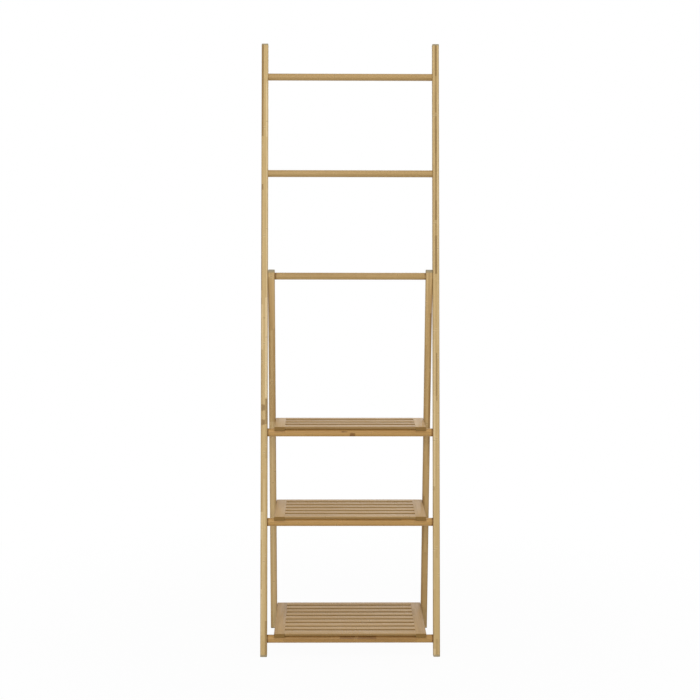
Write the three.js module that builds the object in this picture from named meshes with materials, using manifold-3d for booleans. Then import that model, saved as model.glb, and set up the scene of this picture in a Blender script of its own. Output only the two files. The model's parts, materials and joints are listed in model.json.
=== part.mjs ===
// Folding clothes rack of laminated bamboo. Two long rails lean back and carry two hanging bars. A rear
// frame is hinged between them, and three slatted shelves, hinged between the rear legs, hook over bars
// near the foot of the front frame. Millimetres, +Z up, +Y to the rear. The origin lies on the floor in
// the middle of the footprint.

import * as THREE from 'three';
import { mergeVertices } from 'three/addons/utils/BufferGeometryUtils.js';
import Module from 'manifold-3d';

const wasm = await Module();
wasm.setup();

// Front frame
const FRAME_WIDTH = 510;
const RAIL_LENGTH = 1752;
const RAIL_WIDTH = 19;
const RAIL_DEPTH = 25;
const RAIL_LEAN = THREE.MathUtils.degToRad(8.2);
const HANGING_BAR_DIAMETER = 20;
const SHELF_BAR_DIAMETER = 23;
const BAR_END_EASING = 0.8;

// Places along the rail: the hanging bars from its top end down, the rest from the floor up
const TOP_BAR_BELOW_RAIL_END = 95;
const LOWER_BAR_BELOW_TOP_BAR = 279.5;
const PIVOT_ALONG = 1082;
const TOP_SHELF_BAR_ALONG = 634.5;
const MIDDLE_SHELF_BAR_ALONG = 379.5;
const BOTTOM_SHELF_BAR_ALONG = 49;

// Rear frame
const LEG_WIDTH = 19;
const LEG_DEPTH = 25;
const LEG_SPLAY = THREE.MathUtils.degToRad(7.75);
const LEG_PAST_PIVOT = 17.5;
const PIVOT_BAR_DIAMETER = 20;

// Rounded edges. The corners of a bar's side view are rounded this much wider than its long edges.
const POST_EDGE_ROUNDING = 2;
const POST_EDGE_STEPS = 3;
const END_TO_EDGE_ROUNDING = 1.6;

// Shelves
const SIDE_WIDTH = 30;
const SIDE_THICKNESS = 12;
const SIDE_EDGE_ROUNDING = 1;
const SIDE_EDGE_STEPS = 1;
const SLAT_THICKNESS = 6;
const SLAT_WIDTH = 25;
const FRONT_SLAT_WIDTH = 34;
const SLAT_EDGE_ROUNDING = 1;
const SLAT_EDGE_STEPS = 2;
const LIP_IN_FRONT_OF_BAR = 3;
const REAR_OVERHANG = 18;
const SHELF_TILT = THREE.MathUtils.degToRad(1.4);
const TENON_LENGTH = 8;
const TENON_THICKNESS = 4;
const TENON_SHOULDER = 3;

// Clearances
const NOTCH_CLEARANCE = 0.4;
const SLAT_OVER_BAR = 1;
const TENON_CLEARANCE = 0.3;
const HOLE_CLEARANCE = 0.4;
const HEAD_CLEARANCE = 0.5;
const HOLE_END_CLEARANCE = 1.5;
const HEAD_BELOW_FACE = 0.4;
const SHELF_TO_LEG_GAP = 0.5;
const CUT_PAST_FACE = 1;

// Fasteners. A head's depth is its thickness.
const FRAME_SCREW = { diameter: 6, headDiameter: 12, headDepth: 3.5, socketAcross: 5, gripInBar: 36 };
const PIVOT_BOLT = { diameter: 8, headDiameter: 14, headDepth: 4, socketAcross: 6, gripInBar: 30 };
const HINGE_BOLT = { diameter: 6, headDiameter: 12, headDepth: 3.5, socketAcross: 5 };
const SOCKET_DEPTH_SHARE = 0.7;
const TIP_EASING = 1.2;
const SOLID_BEHIND_HINGE_BOLT = 4.5;
const PIVOT_WASHER = { diameter: 18, thickness: 0.5 };

// Sides of the round pieces
const BAR_SIDES = 20;
const NOTCH_SIDES = 32;
const FASTENER_SIDES = 12;
const WASHER_SIDES = 16;

const topBarAlong = RAIL_LENGTH - TOP_BAR_BELOW_RAIL_END;
const HANGING_BARS = [
  { name: 'hanging_bar_top', along: topBarAlong },
  { name: 'hanging_bar_lower', along: topBarAlong - LOWER_BAR_BELOW_TOP_BAR },
];
const SHELVES = [
  { name: 'top', barAlong: TOP_SHELF_BAR_ALONG, slats: 4 },
  { name: 'middle', barAlong: MIDDLE_SHELF_BAR_ALONG, slats: 6 },
  { name: 'bottom', barAlong: BOTTOM_SHELF_BAR_ALONG, slats: 9 },
];

// Left is -X, seen from the front.
const SIDES = [
  { name: 'left', sign: -1 },
  { name: 'right', sign: 1 },
];

// Widths that follow from the ones above, each measured from the middle of the rack
const railOuter = FRAME_WIDTH / 2;
const railInner = railOuter - RAIL_WIDTH;
const legOuter = railInner - PIVOT_WASHER.thickness;
const legInner = legOuter - LEG_WIDTH;
const shelfOuter = legInner - SHELF_TO_LEG_GAP;
const shelfInner = shelfOuter - SIDE_WIDTH;

// The frame's triangle, seen from the side. y counts from where the rails' centre line meets the floor.
const pivotY = PIVOT_ALONG * Math.sin(RAIL_LEAN);
const pivotZ = PIVOT_ALONG * Math.cos(RAIL_LEAN);
const legFootY = pivotY + pivotZ * Math.tan(LEG_SPLAY);
const footprintFront = -RAIL_DEPTH / 2 / Math.cos(RAIL_LEAN);
const footprintRear = legFootY + LEG_DEPTH / 2 / Math.cos(LEG_SPLAY);
const footprintMiddle = (footprintFront + footprintRear) / 2;

// Heights in a shelf, measured square to it
const shelfTopOverBar = SHELF_BAR_DIAMETER / 2 + SLAT_OVER_BAR + SLAT_THICKNESS;
const hingeOverBar = shelfTopOverBar - SIDE_THICKNESS / 2;
const lipPastBar = SHELF_BAR_DIAMETER / 2 + LIP_IN_FRONT_OF_BAR;
const hingeBoltGrip = SIDE_WIDTH - TENON_LENGTH - SOLID_BEHIND_HINGE_BOLT - HOLE_END_CLEARANCE;

const bambooPale = { color: '#cbb07e', roughness: 0.55, metalness: 0 };
const bambooGolden = { color: '#c19a5f', roughness: 0.5, metalness: 0 };
const bambooSlat = { color: '#c2a277', roughness: 0.55, metalness: 0 };
const zincSteel = { color: '#b4b6b8', roughness: 0.35, metalness: 1 };
const nylon = { color: '#e6e2d6', roughness: 0.6, metalness: 0 };

// A closed geometry as a solid that can be cut and joined
function solidOf(geometry) {
  geometry.deleteAttribute('normal');
  geometry.deleteAttribute('uv');
  const welded = mergeVertices(geometry);
  return new wasm.Manifold(new wasm.Mesh({
    numProp: 3,
    vertProperties: new Float32Array(welded.attributes.position.array),
    triVerts: new Uint32Array(welded.index.array),
  }));
}

function geometryOf(solid) {
  const { vertProperties, triVerts } = solid.getMesh();
  const geometry = new THREE.BufferGeometry();
  geometry.setAttribute('position', new THREE.BufferAttribute(vertProperties, 3));
  geometry.setIndex(new THREE.BufferAttribute(triVerts, 1));
  geometry.computeVertexNormals();
  return geometry;
}

function cut(geometry, cutters) {
  let solid = solidOf(geometry);
  for (const cutter of cutters) {
    solid = solid.subtract(solidOf(cutter));
  }
  return geometryOf(solid);
}

function join(geometries) {
  let solid = solidOf(geometries[0]);
  for (const geometry of geometries.slice(1)) {
    solid = solid.add(solidOf(geometry));
  }
  return geometryOf(solid);
}

function piece(name, geometry, look) {
  const mesh = new THREE.Mesh(geometry, new THREE.MeshStandardMaterial(look));
  mesh.name = name;
  return mesh;
}

// An outline through the corners, each rounded by a curve that starts and ends `rounding` away from it
function roundedOutline(corners, rounding) {
  const points = corners.map(([x, y]) => new THREE.Vector2(x, y));
  const shape = new THREE.Shape();
  points.forEach((corner, index) => {
    const before = points[(index + points.length - 1) % points.length];
    const after = points[(index + 1) % points.length];
    const start = corner.clone().add(before.clone().sub(corner).setLength(rounding));
    const end = corner.clone().add(after.clone().sub(corner).setLength(rounding));
    if (index === 0) {
      shape.moveTo(start.x, start.y);
    } else {
      shape.lineTo(start.x, start.y);
    }
    shape.quadraticCurveTo(corner.x, corner.y, end.x, end.y);
  });
  shape.closePath();
  return shape;
}

// A bar with the given corners in its side view, as [y, z], and `width` wide along X about the middle,
// with its edges rounded
function barFromSideView(corners, width, edgeRounding, edgeSteps) {
  const outline = roundedOutline(corners, edgeRounding * END_TO_EDGE_ROUNDING);
  const geometry = new THREE.ExtrudeGeometry(outline, {
    depth: width - 2 * edgeRounding,
    bevelEnabled: true,
    bevelThickness: edgeRounding,
    bevelSize: edgeRounding,
    bevelOffset: -edgeRounding,
    bevelSegments: edgeSteps,
    curveSegments: edgeSteps,
  });
  geometry.translate(0, 0, edgeRounding - width / 2);
  geometry.rotateX(Math.PI / 2);
  geometry.rotateZ(Math.PI / 2);
  return geometry;
}

// A round body on the X axis, from the points of its half section given as (distance along X, radius)
function turned(halfSection, sides) {
  const points = halfSection.map(([along, radius]) => new THREE.Vector2(radius, along));
  const geometry = new THREE.LatheGeometry(points, sides);
  geometry.rotateZ(-Math.PI / 2);
  return geometry;
}

// A round cutter on the X axis between two distances
function drill(from, to, diameter, sides) {
  const low = Math.min(from, to);
  const high = Math.max(from, to);
  return turned([[low, 0], [low, diameter / 2], [high, diameter / 2], [high, 0]], sides);
}

// The stepped hole for a fastener whose head is sunk into the face at `face` and that runs towards the
// middle of the rack, down to `depth` below that face
function steppedHole(fastener, face, sign, depth) {
  const start = sign * (face + CUT_PAST_FACE);
  const headRoom = HEAD_BELOW_FACE + fastener.headDepth;
  const shankDiameter = fastener.diameter + 2 * HOLE_CLEARANCE;
  const headDiameter = fastener.headDiameter + 2 * HEAD_CLEARANCE;
  return [
    drill(start, sign * (face - headRoom), headDiameter, FASTENER_SIDES),
    drill(start, sign * (face - depth), shankDiameter, FASTENER_SIDES),
  ];
}

// A flat-headed bolt with a six-sided socket. Its head lies just below the face, and its shank ends
// `reach` below the face.
function socketBolt(fastener, face, sign, reach) {
  const headTop = face - HEAD_BELOW_FACE;
  const headFoot = headTop - fastener.headDepth;
  const tip = face - reach;
  const shankRadius = fastener.diameter / 2;
  const headRadius = fastener.headDiameter / 2;
  const halfSection = [
    [tip, 0],
    [tip, shankRadius - TIP_EASING],
    [tip + TIP_EASING, shankRadius],
    [headFoot, shankRadius],
    [headFoot, headRadius],
    [headTop, headRadius],
    [headTop, 0],
  ];
  const body = turned(halfSection, FASTENER_SIDES);
  const socketFloor = headTop - fastener.headDepth * SOCKET_DEPTH_SHARE;
  const socketSides = 6;
  const acrossCorners = fastener.socketAcross / Math.cos(Math.PI / socketSides);
  const socket = drill(socketFloor, headTop + CUT_PAST_FACE, acrossCorners, socketSides);
  const geometry = cut(body, [socket]);
  if (sign < 0) {
    geometry.rotateY(Math.PI);
  }
  return geometry;
}

function washer(diameter, holeDiameter, from, to) {
  const low = Math.min(from, to);
  const high = Math.max(from, to);
  const halfSection = [
    [low, holeDiameter / 2],
    [low, diameter / 2],
    [high, diameter / 2],
    [high, holeDiameter / 2],
    [low, holeDiameter / 2],
  ];
  return turned(halfSection, WASHER_SIDES);
}

// A round bar between two posts, with a blind hole for a fastener in each end
function roundBar(diameter, halfLength, fastener) {
  const radius = diameter / 2;
  const holeRadius = fastener.diameter / 2 + HOLE_CLEARANCE;
  const holeFloor = halfLength - fastener.gripInBar - HOLE_END_CLEARANCE;
  const halfSection = [
    [-holeFloor, 0],
    [-holeFloor, holeRadius],
    [-halfLength, holeRadius],
    [-halfLength, radius - BAR_END_EASING],
    [-halfLength + BAR_END_EASING, radius],
    [halfLength - BAR_END_EASING, radius],
    [halfLength, radius - BAR_END_EASING],
    [halfLength, holeRadius],
    [holeFloor, holeRadius],
    [holeFloor, 0],
  ];
  return turned(halfSection, BAR_SIDES);
}

// The corners of a rail's side view, with its foot cut level with the floor and its top cut square
function railCorners() {
  const half = RAIL_DEPTH / 2;
  const slope = half * Math.tan(RAIL_LEAN);
  return [
    [-half, -slope],
    [half, slope],
    [half, RAIL_LENGTH],
    [-half, RAIL_LENGTH],
  ];
}

function rail(side) {
  const body = barFromSideView(railCorners(), RAIL_WIDTH, POST_EDGE_ROUNDING, POST_EDGE_STEPS);
  body.translate(side.sign * (railOuter - RAIL_WIDTH / 2), 0, 0);
  const throughRail = RAIL_WIDTH + CUT_PAST_FACE;
  const cutters = [];
  const screwed = [...HANGING_BARS.map((bar) => bar.along), ...SHELVES.map((shelf) => shelf.barAlong)];
  for (const along of screwed) {
    for (const cutter of steppedHole(FRAME_SCREW, railOuter, side.sign, throughRail)) {
      cutters.push(cutter.translate(0, 0, along));
    }
  }
  for (const cutter of steppedHole(PIVOT_BOLT, railOuter, side.sign, throughRail)) {
    cutters.push(cutter.translate(0, 0, PIVOT_ALONG));
  }
  return piece(`rail_${side.name}`, cut(body, cutters), bambooPale);
}

// A bar of the front frame, and the screw that holds it to the rail at each end
function frameBar(name, along, diameter) {
  const reach = RAIL_WIDTH + FRAME_SCREW.gripInBar;
  const pieces = [piece(name, roundBar(diameter, railInner, FRAME_SCREW), bambooGolden)];
  for (const side of SIDES) {
    const screw = socketBolt(FRAME_SCREW, railOuter, side.sign, reach);
    pieces.push(piece(`${name}_screw_${side.name}`, screw, zincSteel));
  }
  for (const mesh of pieces) {
    mesh.position.z = along;
  }
  return pieces;
}

function frontFrame() {
  const group = new THREE.Group();
  group.position.y = -footprintMiddle;
  group.rotation.x = -RAIL_LEAN;
  for (const side of SIDES) {
    group.add(rail(side));
  }
  for (const bar of HANGING_BARS) {
    group.add(...frameBar(bar.name, bar.along, HANGING_BAR_DIAMETER));
  }
  for (const shelf of SHELVES) {
    group.add(...frameBar(`shelf_bar_${shelf.name}`, shelf.barAlong, SHELF_BAR_DIAMETER));
  }
  return group;
}

// Where a shelf's hinge lies: on the legs' centre line, and on the line that runs to the rear from above
// the shelf's bar at the shelf's tilt. `behindBar` is measured along that line.
function shelfPlace(shelf) {
  const startY = shelf.barAlong * Math.sin(RAIL_LEAN) - hingeOverBar * Math.sin(SHELF_TILT);
  const startZ = shelf.barAlong * Math.cos(RAIL_LEAN) + hingeOverBar * Math.cos(SHELF_TILT);
  const legY = pivotY + (pivotZ - startZ) * Math.tan(LEG_SPLAY);
  const behindBar = (legY - startY) / (Math.cos(SHELF_TILT) + Math.sin(SHELF_TILT) * Math.tan(LEG_SPLAY));
  const hingeZ = startZ + behindBar * Math.sin(SHELF_TILT);
  return {
    behindBar,
    hingeY: startY + behindBar * Math.cos(SHELF_TILT),
    hingeZ,
    belowPivot: (pivotZ - hingeZ) / Math.cos(LEG_SPLAY),
  };
}

// The corners of a leg's side view about the pivot, with its foot cut level with the floor
function legCorners() {
  const half = LEG_DEPTH / 2;
  const foot = -pivotZ / Math.cos(LEG_SPLAY);
  const slope = half * Math.tan(LEG_SPLAY);
  return [
    [-half, foot + slope],
    [half, foot - slope],
    [half, LEG_PAST_PIVOT],
    [-half, LEG_PAST_PIVOT],
  ];
}

function leg(side) {
  const body = barFromSideView(legCorners(), LEG_WIDTH, POST_EDGE_ROUNDING, POST_EDGE_STEPS);
  body.translate(side.sign * (legOuter - LEG_WIDTH / 2), 0, 0);
  const throughLeg = LEG_WIDTH + CUT_PAST_FACE;
  const pivotHoleDiameter = PIVOT_BOLT.diameter + 2 * HOLE_CLEARANCE;
  const pivotHoleFrom = side.sign * (legOuter + CUT_PAST_FACE);
  const pivotHoleTo = side.sign * (legOuter - throughLeg);
  const cutters = [drill(pivotHoleFrom, pivotHoleTo, pivotHoleDiameter, FASTENER_SIDES)];
  for (const shelf of SHELVES) {
    for (const cutter of steppedHole(HINGE_BOLT, legOuter, side.sign, throughLeg)) {
      cutters.push(cutter.translate(0, 0, -shelfPlace(shelf).belowPivot));
    }
  }
  return piece(`leg_${side.name}`, cut(body, cutters), bambooPale);
}

function pivotWasher(side) {
  const holeDiameter = PIVOT_BOLT.diameter + 2 * HOLE_CLEARANCE;
  const geometry = washer(PIVOT_WASHER.diameter, holeDiameter, side.sign * railInner, side.sign * legOuter);
  return piece(`pivot_washer_${side.name}`, geometry, nylon);
}

function pivotBolt(side) {
  const reach = RAIL_WIDTH + PIVOT_WASHER.thickness + LEG_WIDTH + PIVOT_BOLT.gripInBar;
  return piece(`pivot_bolt_${side.name}`, socketBolt(PIVOT_BOLT, railOuter, side.sign, reach), zincSteel);
}

function rearFrame() {
  const group = new THREE.Group();
  group.position.set(0, pivotY - footprintMiddle, pivotZ);
  group.rotation.x = LEG_SPLAY;
  group.add(piece('pivot_bar', roundBar(PIVOT_BAR_DIAMETER, legInner, PIVOT_BOLT), bambooGolden));
  for (const side of SIDES) {
    group.add(leg(side));
    group.add(pivotWasher(side));
    group.add(pivotBolt(side));
  }
  return group;
}

// The slats of a shelf, front to rear, each with the y of its middle. The front slat is wider, and the
// rest are spread evenly up to the rear end of the side rails.
function slatPlaces(count, front, rear) {
  const places = [{ width: FRONT_SLAT_WIDTH, y: front + FRONT_SLAT_WIDTH / 2 }];
  const spare = rear - front - FRONT_SLAT_WIDTH - (count - 1) * SLAT_WIDTH;
  const pitch = SLAT_WIDTH + spare / (count - 1);
  for (let index = 1; index < count; index += 1) {
    places.push({ width: SLAT_WIDTH, y: rear - SLAT_WIDTH / 2 - (count - 1 - index) * pitch });
  }
  return places;
}

// The tenon at a slat's end, widened by the clearance where it is used to cut the mortise. It starts in
// the slat, as far inside the side rail's inner face as it reaches past it.
function tenonBlock(sign, slatWidth, clearance) {
  const inside = TENON_LENGTH;
  const length = inside + TENON_LENGTH + clearance;
  const width = slatWidth - 2 * TENON_SHOULDER + 2 * clearance;
  const block = new THREE.BoxGeometry(length, width, TENON_THICKNESS + 2 * clearance);
  block.translate(sign * (shelfInner - inside + length / 2), 0, 0);
  return block;
}

function mortise(sign, place) {
  const block = tenonBlock(sign, place.width, TENON_CLEARANCE);
  return block.translate(0, place.y, (SIDE_THICKNESS - SLAT_THICKNESS) / 2);
}

function shelfSide(shelfName, side, place, front, rear, slats) {
  const low = -SIDE_THICKNESS / 2;
  const high = SIDE_THICKNESS / 2;
  const corners = [
    [front, low],
    [rear, low],
    [rear, high],
    [front, high],
  ];
  const body = barFromSideView(corners, SIDE_WIDTH, SIDE_EDGE_ROUNDING, SIDE_EDGE_STEPS);
  body.translate(side.sign * (shelfOuter - SIDE_WIDTH / 2), 0, 0);
  const notchDiameter = SHELF_BAR_DIAMETER + 2 * NOTCH_CLEARANCE;
  const notchFrom = side.sign * (shelfInner - CUT_PAST_FACE);
  const outsideFace = side.sign * (shelfOuter + CUT_PAST_FACE);
  const notch = drill(notchFrom, outsideFace, notchDiameter, NOTCH_SIDES);
  notch.translate(0, -place.behindBar, -hingeOverBar);
  const boltHoleDiameter = HINGE_BOLT.diameter + 2 * HOLE_CLEARANCE;
  const boltHoleFloor = shelfOuter - hingeBoltGrip - HOLE_END_CLEARANCE;
  const boltHole = drill(outsideFace, side.sign * boltHoleFloor, boltHoleDiameter, FASTENER_SIDES);
  const mortises = slats.map((slat) => mortise(side.sign, slat));
  const geometry = cut(body, [notch, boltHole, ...mortises]);
  return piece(`shelf_${shelfName}_side_${side.name}`, geometry, bambooSlat);
}

function slat(shelfName, number, place) {
  const half = place.width / 2;
  const low = -SLAT_THICKNESS / 2;
  const high = SLAT_THICKNESS / 2;
  const corners = [
    [-half, low],
    [half, low],
    [half, high],
    [-half, high],
  ];
  const outline = roundedOutline(corners, SLAT_EDGE_ROUNDING);
  const board = new THREE.ExtrudeGeometry(outline, {
    depth: 2 * shelfInner,
    bevelEnabled: false,
    curveSegments: SLAT_EDGE_STEPS,
  });
  board.translate(0, 0, -shelfInner);
  board.rotateX(Math.PI / 2);
  board.rotateZ(Math.PI / 2);
  const tenons = SIDES.map((side) => tenonBlock(side.sign, place.width, 0));
  const mesh = piece(`shelf_${shelfName}_slat_${number}`, join([board, ...tenons]), bambooSlat);
  mesh.position.set(0, place.y, (SIDE_THICKNESS - SLAT_THICKNESS) / 2);
  return mesh;
}

function hingeBolt(shelfName, side) {
  const reach = LEG_WIDTH + SHELF_TO_LEG_GAP + hingeBoltGrip;
  const geometry = socketBolt(HINGE_BOLT, legOuter, side.sign, reach);
  return piece(`shelf_${shelfName}_hinge_bolt_${side.name}`, geometry, zincSteel);
}

// A shelf in its own frame: the hinge at the origin, +Y to the rear along the shelf
function shelf(entry) {
  const place = shelfPlace(entry);
  const front = -place.behindBar - lipPastBar;
  const rear = REAR_OVERHANG;
  const slats = slatPlaces(entry.slats, front, rear);
  const group = new THREE.Group();
  group.position.set(0, place.hingeY - footprintMiddle, place.hingeZ);
  group.rotation.x = SHELF_TILT;
  for (const side of SIDES) {
    group.add(shelfSide(entry.name, side, place, front, rear, slats));
    group.add(hingeBolt(entry.name, side));
  }
  slats.forEach((slatPlace, index) => group.add(slat(entry.name, index + 1, slatPlace)));
  return group;
}

const rack = new THREE.Group();
rack.add(frontFrame());
rack.add(rearFrame());
for (const entry of SHELVES) {
  rack.add(shelf(entry));
}

export default rack;
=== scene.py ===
import json
import math

import bpy
from mathutils import Matrix, Vector


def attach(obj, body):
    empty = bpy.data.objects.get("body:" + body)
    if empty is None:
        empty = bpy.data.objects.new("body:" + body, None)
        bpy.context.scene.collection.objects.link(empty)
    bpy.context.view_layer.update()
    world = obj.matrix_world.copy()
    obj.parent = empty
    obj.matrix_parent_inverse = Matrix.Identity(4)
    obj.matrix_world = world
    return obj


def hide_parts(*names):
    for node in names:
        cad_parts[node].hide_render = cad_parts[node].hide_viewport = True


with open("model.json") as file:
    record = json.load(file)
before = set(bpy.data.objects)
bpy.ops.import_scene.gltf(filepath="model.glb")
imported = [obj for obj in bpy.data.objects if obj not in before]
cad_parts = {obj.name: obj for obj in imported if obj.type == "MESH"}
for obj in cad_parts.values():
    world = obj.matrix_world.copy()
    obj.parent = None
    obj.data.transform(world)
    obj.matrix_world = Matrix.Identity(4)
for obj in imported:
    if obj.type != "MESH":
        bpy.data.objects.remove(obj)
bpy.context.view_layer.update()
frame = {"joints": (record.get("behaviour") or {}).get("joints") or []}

# Folding bamboo clothes rack. Metres, +Z up, +Y to the rear, as in the CAD model.
# Each shape is modelled once, lying in its own frame, and its copies are then put in their places.

# Slopes, from the vertical for rails and legs and from the level for shelves
RAIL_LEAN = math.radians(8.2)
LEG_SPLAY = math.radians(7.75)
SHELF_TILT = math.radians(1.4)

# Rails and legs
POST_WIDTH = 0.019
POST_DEPTH = 0.025
RAIL_LENGTH = 1.752
PIVOT_ALONG = 1.082
LEG_PAST_PIVOT = 0.0175
POST_EDGE = 0.002
POST_END_EDGE = 0.0033
RAIL_OUTER = 0.255
RAIL_INNER = RAIL_OUTER - POST_WIDTH
PIVOT_GAP = 0.0005
LEG_OUTER = RAIL_INNER - PIVOT_GAP
LEG_INNER = LEG_OUTER - POST_WIDTH

# Round bars, and how far up the rails they are
HANGING_BARS = {"hanging_bar_top": 1.657, "hanging_bar_lower": 1.3775}
SHELF_BARS = {"shelf_bar_top": 0.6345, "shelf_bar_middle": 0.3795, "shelf_bar_bottom": 0.049}
HANGING_BAR_DIAMETER = 0.020
SHELF_BAR_DIAMETER = 0.023
PIVOT_BAR_DIAMETER = 0.020
BAR_END_EDGE = 0.0008
BAR_SIDES = 72

# Shelves, and the number of slats in each
SHELF_SLATS = {"top": 4, "middle": 6, "bottom": 9}
HINGE_GAP = 0.0005
SHELF_OUTER = LEG_INNER - HINGE_GAP
SIDE_WIDTH = 0.030
SHELF_INNER = SHELF_OUTER - SIDE_WIDTH
SIDE_THICKNESS = 0.012
SIDE_EDGE = 0.0012
SIDE_JOINT_EDGE = 0.0003
SLAT_THICKNESS = 0.006
SLAT_WIDTH = 0.025
FRONT_SLAT_WIDTH = 0.034
SLAT_EDGE = 0.001
SLAT_LIFT = (SIDE_THICKNESS - SLAT_THICKNESS) / 2
TENON_LENGTH = 0.008
TENON_THICKNESS = 0.004
TENON_SHOULDER = 0.003
TENON_CLEARANCE = 0.0003
BAR_UNDER_HINGE = 0.0125
NOTCH_CLEARANCE = 0.0004
NOTCH_RADIUS = SHELF_BAR_DIAMETER / 2 + NOTCH_CLEARANCE
NOTCH_SIDES = 96
LIP_IN_FRONT_OF_BAR = 0.003
LIP = SHELF_BAR_DIAMETER / 2 + LIP_IN_FRONT_OF_BAR
REAR_OVERHANG = 0.018

# Screws and bolts. `reach` is measured from the wooden face that the head is sunk in.
M6_HEAD = {"radius": 0.003, "head": 0.006, "head_depth": 0.0035, "socket": 0.005}
M8_HEAD = {"radius": 0.004, "head": 0.007, "head_depth": 0.004, "socket": 0.006}
FRAME_SCREW = {**M6_HEAD, "reach": 0.055}
PIVOT_BOLT = {**M8_HEAD, "reach": 0.0685}
HINGE_BOLT = {**M6_HEAD, "reach": 0.0355}
HEAD_SINK = 0.0004
HEAD_CLEARANCE = 0.0005
HEAD_EDGE = 0.0004
TIP_LENGTH = 0.0012
TIP_SHARE = 0.6
SOCKET_SHARE = 0.7
HOLE_CLEARANCE = 0.0004
HOLE_END_CLEARANCE = 0.0015
HINGE_HOLE_IN_SIDE = 0.0175
RIM_EDGE = 0.0004
WASHER_RADIUS = 0.009
HOLE_SIDES = 48
SHANK_SIDES = 32
SOCKET_SIDES = 6

# How far a cutter reaches past a face, and how near a vertex or a face lies to count as there
PAST = 0.001
NEAR = 1e-5
VERY_NEAR = 1e-6

# Edges that turn by more than these angles are rounded, or kept sharp in the shading
ROUNDED_FROM = math.radians(40)
SHARP_FROM = math.radians(32)

MIRROR = Matrix.Diagonal((-1, 1, 1, 1))
HALF_TURN = Matrix.Rotation(math.pi, 4, "Z")

joint_at = {joint["name"]: Vector(joint["pos_m"]) for joint in frame["joints"]}
pivot = joint_at["rear_frame_fold"]
rail_start = pivot - Vector((0, math.sin(RAIL_LEAN), math.cos(RAIL_LEAN))) * PIVOT_ALONG


def turned_about_x(place, angle):
    return Matrix.Translation(place) @ Matrix.Rotation(angle, 4, "X")


FRONT_FRAME = turned_about_x(rail_start, -RAIL_LEAN)
REAR_FRAME = turned_about_x(pivot, LEG_SPLAY)
SHELF_FRAMES = {
    name: turned_about_x(joint_at[f"shelf_{name}_fold"], SHELF_TILT) for name in SHELF_SLATS
}


# ---------------------------------------------------------------- modelling
def deselect():
    bpy.ops.object.select_all(action="DESELECT")


def only(piece):
    deselect()
    piece.select_set(True)
    bpy.context.view_layer.objects.active = piece


def settled():
    bpy.ops.object.transform_apply(location=True, rotation=True, scale=True)
    return bpy.context.active_object


def block(low, high):
    deselect()
    low, high = Vector(low), Vector(high)
    bpy.ops.mesh.primitive_cube_add(size=1, location=(low + high) / 2, scale=high - low)
    return settled()


def rod(start, end, radius, sides):
    """A round bar along X"""
    deselect()
    bpy.ops.mesh.primitive_cylinder_add(
        vertices=sides,
        radius=radius,
        depth=abs(end - start),
        location=((start + end) / 2, 0, 0),
        rotation=(0, math.pi / 2, 0),
    )
    return settled()


def edit(piece, mode, chosen):
    """Opens the piece in edit mode with the chosen vertices, edges or faces selected"""
    only(piece)
    bpy.ops.object.mode_set(mode="EDIT")
    bpy.ops.mesh.select_mode(type=mode)
    bpy.ops.mesh.select_all(action="DESELECT")
    bpy.ops.object.mode_set(mode="OBJECT")
    data = piece.data
    for part in {"VERT": data.vertices, "EDGE": data.edges, "FACE": data.polygons}[mode]:
        part.select = chosen(part)
    bpy.ops.object.mode_set(mode="EDIT")


def leave_edit():
    bpy.ops.object.mode_set(mode="OBJECT")


def runs_along(piece, axis, near=None):
    """Picks the edges along an axis, and only those whose middle satisfies `near`"""

    def chosen(edge):
        a, b = (piece.data.vertices[i].co for i in edge.vertices)
        return abs((b - a).normalized()[axis]) > 0.9 and (near is None or near((a + b) / 2))

    return chosen


def soften(piece, width, segments, weights=()):
    """Rounds sharp edges: all of them, or the chosen ones, each as wide as its weight says"""
    for chosen, weight in weights:
        edit(piece, "EDGE", chosen)
        bpy.ops.transform.edge_bevelweight(value=weight)
        leave_edit()
    bevel = piece.modifiers.new("edges", "BEVEL")
    bevel.width = width
    bevel.segments = segments
    bevel.limit_method = "WEIGHT" if weights else "ANGLE"
    bevel.angle_limit = ROUNDED_FROM
    only(piece)
    bpy.ops.object.modifier_apply(modifier="edges")


def cut(piece, cutters):
    """Cuts the shapes out of the piece, all at once"""
    deselect()
    for cutter in cutters:
        cutter.select_set(True)
    bpy.context.view_layer.objects.active = cutters[0]
    if len(cutters) > 1:
        bpy.ops.object.join()
    cutter = bpy.context.active_object
    boolean = piece.modifiers.new("cut", "BOOLEAN")
    boolean.operation = "DIFFERENCE"
    boolean.solver = "EXACT"
    boolean.object = cutter
    only(piece)
    bpy.ops.object.modifier_apply(modifier="cut")
    bpy.data.objects.remove(cutter)


def end_cap(x):
    """Picks the face that closes the piece at `x`, centred on the X axis"""
    return lambda face: (face.center - Vector((x, 0, 0))).length < NEAR


def draw_out(piece, from_x, to_x, inset=0.0):
    """Extrudes the end cap at `from_x` to `to_x`, after insetting it"""
    edit(piece, "FACE", end_cap(from_x))
    if inset > 0:
        bpy.ops.mesh.inset(thickness=inset)
    bpy.ops.mesh.extrude_region_move(TRANSFORM_OT_translate={"value": (to_x - from_x, 0, 0)})
    leave_edit()


def draw_out_scaled(piece, from_x, to_x, share_y, share_z):
    """Extrudes the end cap at `from_x` to `to_x`, growing or shrinking it about the X axis"""
    edit(piece, "FACE", end_cap(from_x))
    bpy.ops.mesh.extrude_region_move(TRANSFORM_OT_translate={"value": (to_x - from_x, 0, 0)})
    bpy.ops.transform.resize(value=(1, share_y, share_z), center_override=(to_x, 0, 0))
    leave_edit()


def shifted(piece, y, z):
    piece.location = (0, y, z)
    only(piece)
    return settled()


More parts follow.
